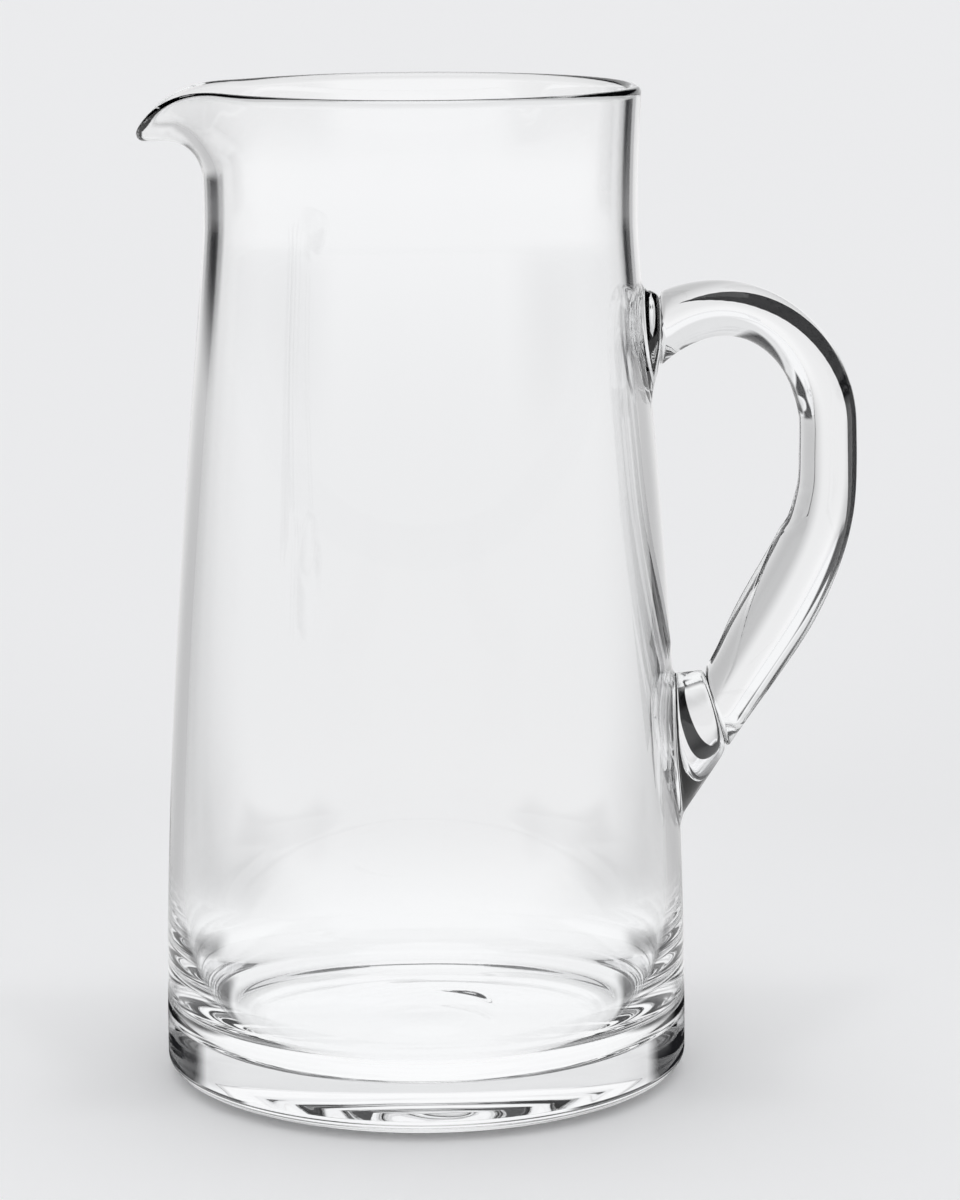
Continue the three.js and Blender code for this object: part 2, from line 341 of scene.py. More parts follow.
# %% [markdown]
# ### Light table
# Most of what the lower glass shows is the table that it stands on. Its tones could be painted on the paper,
# but then they would show beside the pitcher too. So a glowing disc lies just above the paper, for the glass
# alone: bright in the middle, greyer further out, and falling off to both sides at the back. A dark strip
# close to the foot on each side gives the thick base its dark ends.

# %% Disc of the light table
TABLE_RADIUS = 6.0
TABLE_GAP = 0.21 * MM

light_table = lay_disc("light_table", TABLE_RADIUS, TABLE_GAP)
light_table.parent = turning_point
show_in_glass_only(light_table)
print("light table", TABLE_RADIUS, "m")

# %% Shine of the table, by distance from the foot
TABLE_NEAR = (0.98, 0.985, 0.99)
TABLE_MIDDLE = (0.845, 0.845, 0.85)
TABLE_FAR = (0.93, 0.93, 0.935)
NEAR_FADE = (0.06, 0.25)
FAR_FADE = (0.7, 2.4)

table_glow = bpy.data.materials.new("table_glow")
table_glow.use_nodes = True
table_glow.cycles.emission_sampling = "NONE"
glow = table_glow.node_tree
glow.nodes.clear()
table_distance = distance_from_middle(glow)
near_shine = blend(glow, soft_step(glow, table_distance, *NEAR_FADE), TABLE_NEAR, TABLE_MIDDLE)
shine = blend(glow, soft_step(glow, table_distance, *FAR_FADE), near_shine, TABLE_FAR)
print("shine of the table has", len(glow.nodes), "nodes")

# %% Fall of the shine to both sides, and the dark strips
SHADE_COLOUR = (0.02, 0.02, 0.022)
FALL_BEARING = (radians(12), radians(28))
FALL_END = (radians(40), radians(75))
FALL_DISTANCE = (0.09, 0.2)
FALL_SHARE = 0.38
STRIP_NEAR = (56 * MM, 62 * MM)
STRIP_FAR = (78 * MM, 100 * MM)
STRIP_SLANT = 0.5
STRIP_FRONT = (-45 * MM, -25 * MM)
STRIP_BACK = (50 * MM, 85 * MM)

table_spot = own_parts(glow)
backwards = table_spot["Y"]
sideways = combine(glow, "ABSOLUTE", table_spot["X"])
table_bearing = combine(glow, "ARCTAN2", sideways, backwards)
fall = combine(glow, "MULTIPLY", soft_band(glow, table_bearing, FALL_BEARING, FALL_END), FALL_SHARE)
fall = combine(glow, "MULTIPLY", fall, soft_step(glow, table_distance, *FALL_DISTANCE))
fallen = blend(glow, fall, shine, SHADE_COLOUR)
slant = combine(glow, "MULTIPLY", combine(glow, "MAXIMUM", backwards, 0), STRIP_SLANT)
far_edge = soft_step(glow, combine(glow, "SUBTRACT", sideways, slant), *STRIP_FAR)
across = combine(glow, "SUBTRACT", soft_step(glow, sideways, *STRIP_NEAR), far_edge)
strips = combine(glow, "MULTIPLY", across, soft_band(glow, backwards, STRIP_FRONT, STRIP_BACK))
lamp = glow.nodes.new("ShaderNodeEmission")
glow.links.new(blend(glow, strips, fallen, SHADE_COLOUR), lamp.inputs["Color"])
glow.links.new(lamp.outputs["Emission"], glow.nodes.new("ShaderNodeOutputMaterial").inputs["Surface"])
light_table.data.materials.append(table_glow)
print("glow of the table has", len(glow.nodes), "nodes")

# %% Deep paths of light
BOUNCES = 32

bpy.context.scene.cycles.max_bounces = BOUNCES
bpy.context.scene.cycles.transmission_bounces = BOUNCES
bpy.context.scene.cycles.glossy_bounces = BOUNCES
bpy.context.scene.view_settings.view_transform = "Standard"
print("light may turn", BOUNCES, "times")

# %% [markdown]
# ## Glass
# Blown glass is never perfectly even: its skin has long soft waves, and here and there it is a touch less
# clear. The waves are a node group, because the wall, the base and the handle all use them, each at its own
# scale. The shader stays in each material. A second material is for the hidden faces where two pieces were
# fused: it has the index of refraction of nothing, so that light goes through as in one piece of glass.

# %% Node group for the fire-polished skin
WAVE_DETAIL = 1.0
CLOUD_SCALE = 14.0
CLOUDED = (0.985, 0.99, 0.995)
CLEAREST = (1.0, 1.0, 1.0)

skin = bpy.data.node_groups.new("fire_polished_skin", "ShaderNodeTree")
skin.interface.new_socket("Place", in_out="INPUT", socket_type="NodeSocketVector")
skin.interface.new_socket("Wave Scale", in_out="INPUT", socket_type="NodeSocketFloat")
skin.interface.new_socket("Haze", in_out="INPUT", socket_type="NodeSocketFloat")
skin.interface.new_socket("Tint", in_out="OUTPUT", socket_type="NodeSocketColor")
skin.interface.new_socket("Roughness", in_out="OUTPUT", socket_type="NodeSocketFloat")
skin.interface.new_socket("Height", in_out="OUTPUT", socket_type="NodeSocketFloat")
entry = skin.nodes.new("NodeGroupInput")
leave = skin.nodes.new("NodeGroupOutput")
waves = skin.nodes.new("ShaderNodeTexNoise")
waves.inputs["Detail"].default_value = WAVE_DETAIL
skin.links.new(entry.outputs["Place"], waves.inputs["Vector"])
skin.links.new(entry.outputs["Wave Scale"], waves.inputs["Scale"])
skin.links.new(waves.outputs["Fac"], leave.inputs["Height"])
clouds = skin.nodes.new("ShaderNodeTexNoise")
clouds.inputs["Scale"].default_value = CLOUD_SCALE
skin.links.new(entry.outputs["Place"], clouds.inputs["Vector"])
haze = combine(skin, "MULTIPLY", clouds.outputs["Fac"], entry.outputs["Haze"])
skin.links.new(haze, leave.inputs["Roughness"])
skin.links.new(blend(skin, clouds.outputs["Fac"], CLOUDED, CLEAREST), leave.inputs["Tint"])
print("group", skin.name, "has", len(skin.nodes), "nodes")

# %% Glass materials
GLASS_INDEX = 1.52
HAZE_MOST = 0.01


def glass_material(name, stretch, wave_scale, wave_depth):
    material = bpy.data.materials.new(name)
    material.use_nodes = True
    nodes = material.node_tree.nodes
    links = material.node_tree.links
    shader = nodes["Principled BSDF"]
    shader.inputs["Metallic"].default_value = 0.0
    shader.inputs["IOR"].default_value = GLASS_INDEX
    shader.inputs["Transmission Weight"].default_value = 1.0
    mapping = nodes.new("ShaderNodeMapping")
    mapping.inputs["Scale"].default_value = stretch
    links.new(own_place(material.node_tree), mapping.inputs["Vector"])
    surface = nodes.new("ShaderNodeGroup")
    surface.node_tree = skin
    surface.inputs["Wave Scale"].default_value = wave_scale
    surface.inputs["Haze"].default_value = HAZE_MOST
    links.new(mapping.outputs["Vector"], surface.inputs["Place"])
    bump = nodes.new("ShaderNodeBump")
    bump.inputs["Strength"].default_value = 1.0
    bump.inputs["Distance"].default_value = wave_depth
    links.new(surface.outputs["Height"], bump.inputs["Height"])
    links.new(surface.outputs["Tint"], shader.inputs["Base Color"])
    links.new(surface.outputs["Roughness"], shader.inputs["Roughness"])
    links.new(bump.outputs["Normal"], shader.inputs["Normal"])
    return material


blown_glass = glass_material("blown_glass", stretch=(1, 1, 0.5), wave_scale=30.0, wave_depth=0.05 * MM)
heavy_glass = glass_material("heavy_glass", stretch=(1, 1, 1), wave_scale=45.0, wave_depth=0.04 * MM)
drawn_glass = glass_material("drawn_glass", stretch=(1, 1, 0.4), wave_scale=60.0, wave_depth=0.04 * MM)
print("glasses:", blown_glass.name, heavy_glass.name, drawn_glass.name)

# %% Fused joints
JOINT_INDEX = 1.0
GLASS_SLOT = 0
JOINT_SLOT = 1

fused_joint = plain_material("fused_joint", CLEAREST, 0.0)
joint_shader = fused_joint.node_tree.nodes["Principled BSDF"]
joint_shader.inputs["IOR"].default_value = JOINT_INDEX
joint_shader.inputs["Transmission Weight"].default_value = 1.0


def finish_glass(piece, glass, is_joint):
    piece.data.materials.clear()
    piece.data.materials.append(glass)
    piece.data.materials.append(fused_joint)
    for face in piece.data.polygons:
        face.material_index = JOINT_SLOT if is_joint(face) else GLASS_SLOT


print("joint:", fused_joint.name)

# %% [markdown]
# ## Outline of the vessel
# A blown vessel is round, so half of its section is drawn once and spun about the axis. The outside is one
# long curve from the heel to the waist, and from there it opens a little towards the rim.

# %% Curves
FINE = 400


def bezier(points, count):
    share = np.linspace(0, 1, count)[:, None]
    first, second, third, last = (np.array(point, float)[None, :] for point in points)
    left = 1 - share
    return left**3 * first + 3 * left**2 * share * second + 3 * left * share**2 * third + share**3 * last


side_line = bezier([
    (FOOT_RADIUS, HEEL_HEIGHT),
    (FOOT_RADIUS, HEEL_HEIGHT + SIDE_UPRIGHT),
    (WAIST_RADIUS, WAIST_HEIGHT - NECK_UPRIGHT),
    (WAIST_RADIUS, WAIST_HEIGHT),
], FINE)


def outside_radius(height):
    flare = np.maximum(height - WAIST_HEIGHT, 0) / (RIM_HEIGHT - WAIST_HEIGHT)
    radius = np.interp(height, side_line[:, 1], side_line[:, 0])
    return radius + (RIM_RADIUS - WAIST_RADIUS) * flare**2


print("radius half way up:", round(float(outside_radius(RIM_HEIGHT / 2)) / MM, 2), "mm")

# %% Spin an outline
COLUMNS = 240
MERGE = 1e-6
CENTIMETRE = 10 * MM


def spin_outline(name, outline):
    start_clean()
    bpy.ops.mesh.primitive_plane_add(size=WALL)
    piece = bpy.context.object
    piece.name = name
    bpy.ops.object.mode_set(mode="EDIT")
    bpy.ops.mesh.merge(type="CENTER")
    bpy.ops.transform.translate(value=(outline[0][0], 0, outline[0][1]))
    for here, there in zip(outline, outline[1:]):
        step = (there[0] - here[0], 0, there[1] - here[1])
        bpy.ops.mesh.extrude_region_move(TRANSFORM_OT_translate={"value": step})
    bpy.ops.mesh.select_all(action="SELECT")
    bpy.ops.mesh.spin(steps=COLUMNS, angle=2 * pi, center=(0, 0, 0), axis=(0, 0, 1))
    bpy.ops.mesh.select_all(action="SELECT")
    bpy.ops.mesh.remove_doubles(threshold=MERGE)
    bpy.ops.mesh.normals_make_consistent(inside=False)
    bpy.ops.object.mode_set(mode="OBJECT")
    return piece


def report(piece):
    mesh = bmesh.new()
    mesh.from_mesh(piece.data)
    loose = sum(len(edge.link_faces) != 2 for edge in mesh.edges)
    volume = mesh.calc_volume(signed=True) / CENTIMETRE**3
    print(f"{piece.name}: {len(mesh.faces)} faces, {loose} open edges, {volume:.1f} cubic centimetres")
    mesh.free()


# %% [markdown]
# ## Body
# The wall goes up the outside, over the rim, which was melted round in the flame, and down the inside. It
# ends in a flat ring on the base. A thickness could be added later by a modifier, but the outline with both
# sides gives the round rim at once.

# %% Spin the body
LIP_START = 219 * MM
SIDE_STEPS = 60
LIP_STEPS = 30
RIM_STEPS = 12

rim_centre = RIM_HEIGHT - WALL / 2
heights = np.concatenate([
    np.linspace(SEAM_HEIGHT, LIP_START, SIDE_STEPS),
    np.linspace(LIP_START, rim_centre, LIP_STEPS)[1:],
])
outside = [(float(outside_radius(height)), float(height)) for height in heights]
inside = [(radius - WALL, height) for radius, height in outside]
rim_middle = outside[-1][0] - WALL / 2
rim = [
    (rim_middle + WALL / 2 * np.cos(turn), rim_centre + WALL / 2 * np.sin(turn))
    for turn in np.linspace(0, pi, RIM_STEPS + 1)[1:-1]
]
body = spin_outline("blown_body", [*outside, *rim, *inside[::-1], outside[0]])
report(body)

# %% [markdown]
# ### Pouring lip
# While the rim is soft, one place is pulled outwards and down with a tool. The wall bends over along an
# arc, most in the middle of the lip and less to both sides. A soft selection could pull it too, but it would
# thin the wall. A bend follows the wall's own thickness, so each point is moved by the formula of the arc.

# %% Pull the lip
LIP_BEND_LENGTH = 15.7 * MM
LIP_BEND = radians(90)
LIP_STRETCH = 0.1
LIP_SPREAD = radians(17)
LEAST_TURN = 1e-9


def pull_lip(piece):
    points = np.empty(len(piece.data.vertices) * 3)
    piece.data.vertices.foreach_get("co", points)
    points = points.reshape(-1, 3)
    radius = np.hypot(points[:, 0], points[:, 1])
    angle = np.arctan2(points[:, 1], points[:, 0]) % (2 * pi)
    height = np.minimum(points[:, 2], rim_centre)
    past = np.maximum(points[:, 2] - rim_centre, 0)
    across = radius - (outside_radius(height) - WALL / 2)
    bend = np.exp(-(((angle - pi) / LIP_SPREAD) ** 2))
    length = (height - LIP_START) * (1 + LIP_STRETCH * bend)
    bent = np.minimum(length, LIP_BEND_LENGTH)
    turn = np.maximum(LIP_BEND * bend * bent / LIP_BEND_LENGTH, LEAST_TURN)
    chord = bent * np.sin(turn / 2) / (turn / 2)
    straight = length - bent + past
    lip_radius = outside_radius(LIP_START)
    middle = lip_radius - WALL / 2 + (outside_radius(height) - lip_radius) * (1 - bend)
    reach = middle + chord * np.sin(turn / 2) + straight * np.sin(turn) + across * np.cos(turn)
    rise = chord * np.cos(turn / 2) + straight * np.cos(turn) - across * np.sin(turn)
    upper = points[:, 2] > LIP_START
    points[upper, 0] = (reach * np.cos(angle))[upper]
    points[upper, 1] = (reach * np.sin(angle))[upper]
    points[upper, 2] = (LIP_START + rise)[upper]
    piece.data.vertices.foreach_set("co", points.ravel())
    piece.data.update()


pull_lip(body)
report(body)

# %% [markdown]
# ## Base
# The base is one thick gather of glass. Its underside is ground flat, the heel is rounded, and the floor
# inside is a bowl with a low button in the middle. All of it is round, so it is spun like the body.

# %% Spin the base
LEVEL_RADIUS = 41 * MM
LEVEL_HEIGHT = 10 * MM
LEVEL_RUN = 14 * MM
BOWL_UPRIGHT = 32 * MM
BUTTON_RADIUS = 18 * MM
BUTTON_HEIGHT = 0.8 * MM
HEEL_STEPS = 12
BASE_STEPS = 24
BOWL_STEPS = 48
FLOOR_STEPS = 90

heel = [
    (FOOT_RADIUS - HEEL_WIDTH * (1 - np.sin(turn)), HEEL_HEIGHT * (1 - np.cos(turn)))
    for turn in np.linspace(0, pi / 2, HEEL_STEPS + 1)
]
base_heights = np.linspace(HEEL_HEIGHT, SEAM_HEIGHT, BASE_STEPS + 1)[1:]
base_side = [(float(outside_radius(height)), float(height)) for height in base_heights]
bowl_top = base_side[-1][0] - WALL
bowl_turn = outside_radius(SEAM_HEIGHT - BOWL_UPRIGHT) - WALL
bowl = bezier([
    (bowl_top, SEAM_HEIGHT),
    (bowl_turn, SEAM_HEIGHT - BOWL_UPRIGHT),
    (LEVEL_RADIUS + LEVEL_RUN, LEVEL_HEIGHT),
    (LEVEL_RADIUS, LEVEL_HEIGHT),
], BOWL_STEPS + 1)


def floor_height(radius):
    share = min(radius / BUTTON_RADIUS, 1)
    return LEVEL_HEIGHT + BUTTON_HEIGHT * (1 + np.cos(pi * share)) / 2


level = [(radius, floor_height(radius)) for radius in np.linspace(LEVEL_RADIUS, 0, FLOOR_STEPS + 1)[1:]]
underside = [(0, 0), (FOOT_RADIUS - 2 * HEEL_WIDTH, 0)]
base = spin_outline("heavy_base", [*underside, *heel, *base_side, *bowl, *level])
report(base)

# %% [markdown]
# ### Tool marks on the floor
# The tools that pressed the bowl left faint rings at the back of the floor and one raised crescent. A bump
# in the material could fake them, but real ridges bend light on its way through, so the points of the floor
# are moved up and down.

# %% Mark the floor
RING_HEIGHT = 0.05 * MM
RING_SPACING = 7 * MM
RING_CENTRE = (3 * MM, -2 * MM)
RING_NEAR = 10 * MM
RING_FAR = 24 * MM
RING_EDGE_POWER = 4
CRESCENT_HEIGHT = 0.9 * MM
CRESCENT_RADIUS = 17 * MM
CRESCENT_WIDTH = 1.2 * MM
CRESCENT_BEARING = radians(40)
CRESCENT_SPREAD = radians(30)


def mark_floor(piece):
    for vertex in piece.data.vertices:
        x, y, z = vertex.co
        radius = np.hypot(x, y)
        if z < HEEL_HEIGHT or radius > LEVEL_RADIUS:
            continue
        from_rings = np.hypot(x - RING_CENTRE[0], y - RING_CENTRE[1])
        at_back = np.clip((y - RING_NEAR) / (RING_FAR - RING_NEAR), 0, 1)
        off_edge = 1 - (radius / LEVEL_RADIUS) ** RING_EDGE_POWER
        ring = RING_HEIGHT * np.sin(2 * pi * from_rings / RING_SPACING) * at_back * off_edge
        off_bearing = (np.arctan2(y, x) - CRESCENT_BEARING) / CRESCENT_SPREAD
        off_radius = (radius - CRESCENT_RADIUS) / CRESCENT_WIDTH
        crescent = CRESCENT_HEIGHT * np.exp(-off_bearing * off_bearing - off_radius * off_radius)
        vertex.co.z = z + ring + crescent


mark_floor(base)
report(base)

# %% [markdown]
# ## Handle
# The handle is a cane: a rod of soft glass that is stuck to the wall, drawn out and bent over. It could be a
# curve with a round bevel, but the real cane is oval and changes its thickness. So it is made as the real
# one is, first as a straight rod with rounded ends and then bent along its line.

# %% Line of the cane
ROOT_HEIGHT = 181.5 * MM
ROOT_CLIMB = radians(36)
ROOT_PULL = 23.7 * MM
SEAL_DEPTH = 3.2 * MM
HANDLE_REACH = 97.3 * MM
REACH_HEIGHT = 158.8 * MM
REACH_PULL_UP = 20 * MM
REACH_PULL_DOWN = 22 * MM
END_HEIGHT = 88.5 * MM
END_FALL = radians(58)
END_PULL = 54.5 * MM
PAD_DEPTH = 10 * MM

root = np.array((outside_radius(ROOT_HEIGHT) + SEAL_DEPTH, ROOT_HEIGHT))
reach_point = np.array((HANDLE_REACH, REACH_HEIGHT))
end = np.array((outside_radius(END_HEIGHT) + PAD_DEPTH, END_HEIGHT))
cane_line = np.vstack([
    bezier([
        root,
        root + ROOT_PULL * np.array((np.cos(ROOT_CLIMB), np.sin(ROOT_CLIMB))),
        reach_point + (0, REACH_PULL_UP),
        reach_point,
    ], FINE),
    bezier([
        reach_point,
        reach_point - (0, REACH_PULL_DOWN),
        end + END_PULL * np.array((np.cos(END_FALL), np.sin(END_FALL))),
        end,
    ], FINE)[1:],
])
cane_steps = np.hypot(*np.diff(cane_line, axis=0).T)
cane_lengths = np.concatenate([[0], np.cumsum(cane_steps)])
cane_slopes = np.gradient(cane_line, cane_lengths, axis=0)
CANE_LENGTH = cane_lengths[-1]
print(f"the cane is {CANE_LENGTH / MM:.1f} mm long")

# %% [markdown]
# ### Small flags behind the handle
# The cane is a strong lens that turns things round, so its dark bands come from narrow dark things close
# behind it, each on the other side of the cane. The tent is too far away for that. Three small flags hang
# there instead: a strip inside the loop, a strip outside of it and a patch behind the lower pad.

# %% Cloth of the flags
CLOTH_ROUGHNESS = 1.0

flag_cloth = plain_material("flag_cloth", CLOTH_COLOUR, CLOTH_ROUGHNESS)


def hang_flag(name, points, faces):
    """A flat flag from corners in millimetres, seen only in the glass."""
    mesh = bpy.data.meshes.new(name)
    mesh.from_pydata([tuple(np.array(point) * MM) for point in points], [], faces)
    mesh.materials.append(flag_cloth)
    flag = bpy.data.objects.new(name, mesh)
    bpy.context.scene.collection.objects.link(flag)
    flag.parent = turning_point
    show_in_glass_only(flag)
    print(name, len(faces), "faces")


# %% Hang the flags, in millimetres from the middle of the cane towards the inside of the loop
FLAG_STEP = 20
FLAG_BEHIND = 15
INNER_SHARES = (0.06, 0.13, 0.2, 0.35, 0.5, 0.7, 0.85, 1)
INNER_NEAR = (3.8, 3, 2.5, 2.3, 2.2, 2.6, 5, 7)
INNER_FAR = (3.8, 4.8, 5.8, 7.6, 10, 11, 14, 15)
INNER_LEFT = 60
OUTER_EDGES = (-11, -45)
OUTER_SHARES = (0.38, 1)
PATCH_BEHIND = 14
PATCH = ((61.5, 92), (62.5, 92), (65.5, 76), (64.5, 66), (62.5, 66))

flag_line = cane_line[::FLAG_STEP] / MM
flag_inwards = np.stack([cane_slopes[::FLAG_STEP, 1], -cane_slopes[::FLAG_STEP, 0]], 1)
flag_shares = cane_lengths[::FLAG_STEP] / CANE_LENGTH
flag_count = len(flag_line)
strip = [(i, i + 1, i + 1 + flag_count, i + flag_count) for i in range(flag_count - 1)]
inner_points = []
outer_points = []
for inner_offsets, outer_offset in zip((INNER_NEAR, INNER_FAR), OUTER_EDGES):
    inner_edge = flag_line + flag_inwards * np.interp(flag_shares, INNER_SHARES, inner_offsets)[:, None]
    inner_points += [(max(x, INNER_LEFT), FLAG_BEHIND, z) for x, z in inner_edge]
    outer_points += [(x, FLAG_BEHIND, z) for x, z in flag_line + flag_inwards * outer_offset]
hang_flag("inner_flag", inner_points, strip)
first, last = np.searchsorted(flag_shares, OUTER_SHARES)
hang_flag("outer_flag", outer_points, strip[first:last])
hang_flag("pad_flag", [(x, PATCH_BEHIND, z) for x, z in PATCH], [tuple(range(len(PATCH)))])

# %% [markdown]
# ### Section of the cane
# The cane is oval, thinnest at the crown and thickest low down. The inner side of the grip was pressed into
# two slightly wavy flats while it was soft, and two fine folds run along its front. Sculpting could do that
# by hand. A formula for each mark is used, because it can be moved and measured.

# %% Thickness of the cane by share of its length
CANE_WIDTH = 17 * MM
CANE_THICKNESS = {0: 14.6 * MM, 0.2: 12.8 * MM, 0.5: 14.6 * MM, 0.78: 18.5 * MM, 1: 15 * MM}


def smooth(share):
    share = np.clip(share, 0, 1)
    return share * share * (3 - 2 * share)


def cane_thickness(share):
    places = list(CANE_THICKNESS)
    for before, after in zip(places, places[1:]):
        if share <= after:
            mix = smooth((share - before) / (after - before))
            return CANE_THICKNESS[before] + (CANE_THICKNESS[after] - CANE_THICKNESS[before]) * mix
    return CANE_THICKNESS[1]


print(f"half way the cane is {cane_thickness(0.5) / MM:.1f} mm thick")

# %% Pressed flats
FLAT_FROM = 48 * MM
FLAT_TO = 88 * MM
FLAT_BLEND = 8 * MM
FLAT_TURN = radians(62)
FLAT_DEPTH = 0.82
FLAT_WAVE = 0.02
FLAT_WAVE_LENGTH = 2.6 * MM
SLOW_WAVE = 0.37
LEAST_COSINE = 0.1


def pressed_flat(length, turn):
    """Share of the cane's size that is left where its inner side was pressed into two flats."""
    pressed = smooth((length - FLAT_FROM) / FLAT_BLEND) * smooth((FLAT_TO - length) / FLAT_BLEND)
    off_flat = min(abs(turn + FLAT_TURN), abs(turn + pi - FLAT_TURN))
    waves_along = length / FLAT_WAVE_LENGTH
    wave = FLAT_WAVE * np.sin(waves_along) * np.sin(SLOW_WAVE * waves_along)
    flat = (FLAT_DEPTH + wave) / max(np.cos(off_flat), LEAST_COSINE)
    return 1 - pressed * (1 - min(flat, 1))


print(f"flats from {FLAT_FROM / MM:.0f} to {FLAT_TO / MM:.0f} mm along the cane")

# %% Folds: millimetres along the cane, each with degrees round it and a share of the depth
FOLD_WIDTH = radians(2.6)
FOLD_DEPTH = 0.055
UPPER_FOLD = {
    12: (-5, 0),
    25: (-7, 0.4),
    45: (-24, 0.8),
    55: (-33, 1),
    80: (-33, 1),
    87: (-70, 0.6),
    90: (-90, 0),
}
LOWER_FOLD = {90: (-86, 0), 95: (-72, 0.8), 124: (-27, 1), 131: (-22, 0)}


def folded_in(length, turn):
    """Share of the cane's size that is lost in the two fine folds along its front."""
    lost = 0
    for fold in (UPPER_FOLD, LOWER_FOLD):
        places = np.array(list(fold)) * MM
        turns, depths = np.array(list(fold.values())).T
        fold_turn = radians(np.interp(length, places, turns))
        off_fold = (turn + pi + fold_turn) / FOLD_WIDTH
        lost += FOLD_DEPTH * np.interp(length, places, depths) * np.exp(-off_fold * off_fold)
    return lost


print("points of the folds:", len(UPPER_FOLD) + len(LOWER_FOLD))

# %% Bend a straight rod along the line
PAD_FACE_TILT = radians(16)
SQUARE_AFTER = 26 * MM

root_face = np.array((1, 0))
end_face = -np.array((np.cos(PAD_FACE_TILT), np.sin(PAD_FACE_TILT)))


def cane_point(length, turn, size):
    """Place on the cane, whose rings turn into the two end faces near its ends."""
    length = min(max(length, 0), CANE_LENGTH)
    size = size * (pressed_flat(length, turn) - folded_in(length, turn))
    middle = np.array([np.interp(length, cane_lengths, cane_line[:, axis]) for axis in (0, 1)])
    along = np.array([np.interp(length, cane_lengths, cane_slopes[:, axis]) for axis in (0, 1)])
    along /= np.hypot(*along)
    outwards = np.array((-along[1], along[0]))
    from_root = smooth(length / SQUARE_AFTER)
    from_end = smooth((CANE_LENGTH - length) / SQUARE_AFTER)
    facing_line = root_face + (along - root_face) * from_root
    if from_root >= 1:
        facing_line = end_face + (along - end_face) * from_end
    rise = cane_thickness(length / CANE_LENGTH) / 2 * size * np.sin(turn)
    slide = -rise * outwards.dot(facing_line) / along.dot(facing_line)
    x, z = middle + outwards * rise + along * slide
    return x, CANE_WIDTH / 2 * size * np.cos(turn), z


print("middle of the cane's end:", np.round(np.array(cane_point(CANE_LENGTH, 0, 0)) / MM, 1), "mm")


# %% Rods along X
def straight_rod(name, sides, stations):
    """A rod along X from a ring at each station, given as (place along X, size of the ring)."""
    start_clean()
    bpy.ops.mesh.primitive_circle_add(vertices=sides, radius=1, rotation=(0, pi / 2, 0))
    rod = bpy.context.object
    rod.name = name
    bpy.ops.object.transform_apply(location=True, rotation=True, scale=True)
    bpy.ops.object.mode_set(mode="EDIT")
    bpy.ops.mesh.select_all(action="SELECT")
    bpy.ops.transform.translate(value=(stations[0][0], 0, 0))
    bpy.ops.transform.resize(value=(1, stations[0][1], stations[0][1]))
    bpy.ops.mesh.edge_face_add()
    for (here, size), (there, next_size) in zip(stations, stations[1:]):
        bpy.ops.mesh.extrude_region_move(TRANSFORM_OT_translate={"value": (there - here, 0, 0)})
        bpy.ops.transform.resize(value=(1, next_size / size, next_size / size))
    bpy.ops.mesh.select_all(action="SELECT")
    bpy.ops.mesh.normals_make_consistent(inside=False)
    bpy.ops.object.mode_set(mode="OBJECT")
    return rod


def reshape(piece, place_point):
    for vertex in piece.data.vertices:
        along, across, up = vertex.co
        vertex.co = place_point(along, np.arctan2(up, across), np.hypot(across, up))
    start_clean()
    bpy.context.view_layer.objects.active = piece
    bpy.ops.object.mode_set(mode="EDIT")
    bpy.ops.mesh.select_all(action="SELECT")
    bpy.ops.mesh.normals_make_consistent(inside=False)
    bpy.ops.object.mode_set(mode="OBJECT")


# %% Handle
CANE_SIDES = 240
CANE_STEPS = 180
CREASE = 1.5 * MM
CREASE_STEPS = 6


def rounded_end(size):
    """Stations of a rounded end: distance from the end and size of the ring there."""
    turns = np.linspace(0, pi / 2, CREASE_STEPS + 1)
    return [(size * (1 - np.cos(turn)), 1 - size / (CANE_WIDTH / 2) * (1 - np.sin(turn))) for turn in turns]


near_end = rounded_end(CREASE)
far_end = [(CANE_LENGTH - place, size) for place, size in near_end[::-1]]
between = [(place, 1) for place in np.linspace(2 * CREASE, CANE_LENGTH - 2 * CREASE, CANE_STEPS)]
handle = straight_rod("cane_handle", CANE_SIDES, [*near_end, *between, *far_end])
finish_glass(handle, drawn_glass, lambda face: len(face.vertices) == CANE_SIDES)
reshape(handle, cane_point)
report(handle)

# %% [markdown]
# ## Upper seal and lower pad
# Each end of the cane sits in a dab of hot glass that swells towards the wall and flows out on it. A plain
# ball of glass would be too round, so a short rod is stretched from the face of the cane to an oval on the
# wall. The dab sinks a little into the wall, and the wall gets a pocket of the same shape, so that both stay
# closed pieces.

# %% Shape of a dab
SINK = 0.8 * MM
FLOW = 1.2 * MM
DAB_SIDES = 80
DAB_STEPS = 16
FLOW_STEPS = 8


def make_dab(name, cane_length, upwards, height, half_height, half_width, depth):
    climb = half_height if upwards else -half_height
    face_middle = np.array(cane_point(cane_length, 0, 0))

    def dab_point(share, turn, size):
        across = half_width * size * np.cos(turn)
        up = height + climb * size * np.sin(turn)
        wall = np.array((np.sqrt(outside_radius(up) ** 2 - across**2), across, up))
        if share < 0:
            return wall + (share, 0, 0)
        face = face_middle + (np.array(cane_point(cane_length, turn, 1)) - face_middle) * size
        return wall + (face - wall) * share

    flowing = [
        (place * FLOW / depth, 1 + FLOW / half_width * (1 - place) ** 2)
        for place in np.linspace(0, 1, FLOW_STEPS + 1)
    ]
    rounding = [(1 - place / depth, size) for place, size in rounded_end(CREASE)[::-1]]
    straight = [(share, 1) for share in np.linspace(flowing[-1][0], rounding[0][0], DAB_STEPS)[1:-1]]
    dab = straight_rod(name, DAB_SIDES, [(-SINK, flowing[0][1]), *flowing, *straight, *rounding])
    finish_glass(dab, drawn_glass, lambda face: face.center.x < 0 or face.center.x > 1 - MERGE)
    reshape(dab, dab_point)
    report(dab)
    return dab


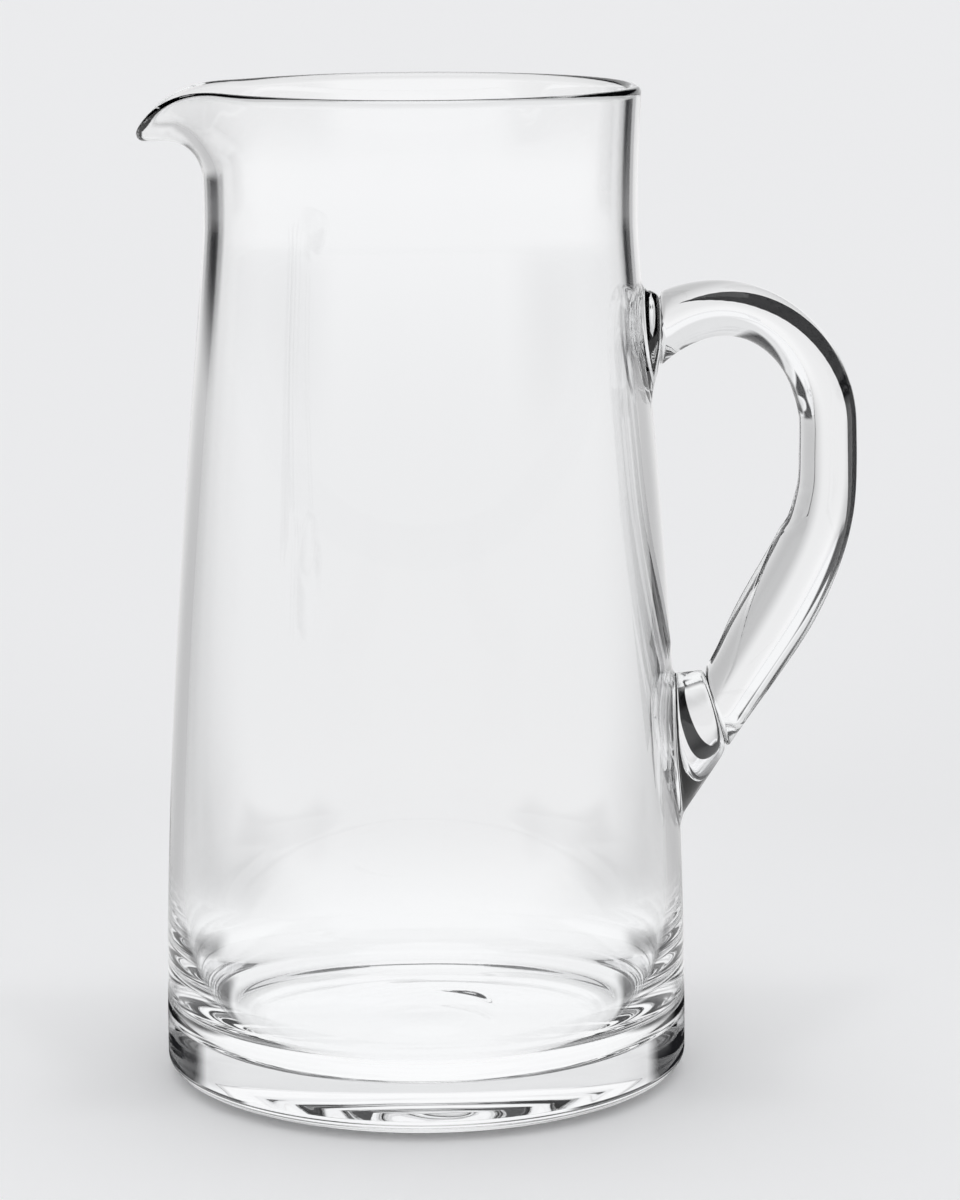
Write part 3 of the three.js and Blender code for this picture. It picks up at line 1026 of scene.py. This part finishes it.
# %% Upper seal
SEAL_HALF_HEIGHT = 13 * MM
SEAL_HALF_WIDTH = 10.5 * MM
SEAL_DROP = 3.2 * MM

upper_seal = make_dab(
    "upper_seal_glass",
    cane_length=0,
    upwards=True,
    height=ROOT_HEIGHT - SEAL_DROP,
    half_height=SEAL_HALF_HEIGHT,
    half_width=SEAL_HALF_WIDTH,
    depth=SEAL_DEPTH,
)

# %% Lower pad
PAD_HALF_HEIGHT = 18 * MM
PAD_HALF_WIDTH = 11 * MM
PAD_DROP = 9 * MM

lower_pad = make_dab(
    "lower_pad_glass",
    cane_length=CANE_LENGTH,
    upwards=False,
    height=END_HEIGHT - PAD_DROP,
    half_height=PAD_HALF_HEIGHT,
    half_width=PAD_HALF_WIDTH,
    depth=PAD_DEPTH,
)

# %% Seam between body and base
LEVEL_FACE = 0.99


def under_body(face):
    return face.normal.z < -LEVEL_FACE and face.center.z < SEAM_HEIGHT + MERGE


def on_base(face):
    return face.normal.z > LEVEL_FACE and face.center.z > SEAM_HEIGHT - MERGE


finish_glass(body, blown_glass, under_body)
finish_glass(base, heavy_glass, on_base)
for piece in (body, base):
    seam_faces = sum(face.material_index == JOINT_SLOT for face in piece.data.polygons)
    print(piece.name, "has", seam_faces, "faces at the seam")

# %% Pockets in the wall
for dab in (upper_seal, lower_pad):
    start_clean()
    bpy.context.view_layer.objects.active = body
    pocket = body.modifiers.new("pocket", "BOOLEAN")
    pocket.operation = "DIFFERENCE"
    pocket.solver = "EXACT"
    pocket.material_mode = "TRANSFER"
    pocket.object = dab
    bpy.ops.object.modifier_apply(modifier="pocket")
report(body)
print("materials on the body:", [slot.name for slot in body.data.materials])

# %% [markdown]
# ## Places in the frame
# Fire-polished glass has no facets, so all faces are shaded smooth, and only real edges stay sharp. Each
# piece then takes the place of its solid. Nothing on the pitcher moves, so all of them ride on one body.

# %% Smooth shading and places in the frame
SHARP = radians(40)

for piece, node in (
    (body, "body"),
    (base, "base"),
    (handle, "handle"),
    (upper_seal, "upper_seal"),
    (lower_pad, "lower_pad"),
):
    start_clean()
    piece.select_set(True)
    bpy.context.view_layer.objects.active = piece
    bpy.ops.object.shade_smooth_by_angle(angle=SHARP)
    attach(piece, "root")
    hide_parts(node)
    print(piece.name, "takes the place of", node)

# %% [markdown]
# ## Finish
# Nothing is left selected at the end.

# %% Finish
start_clean()
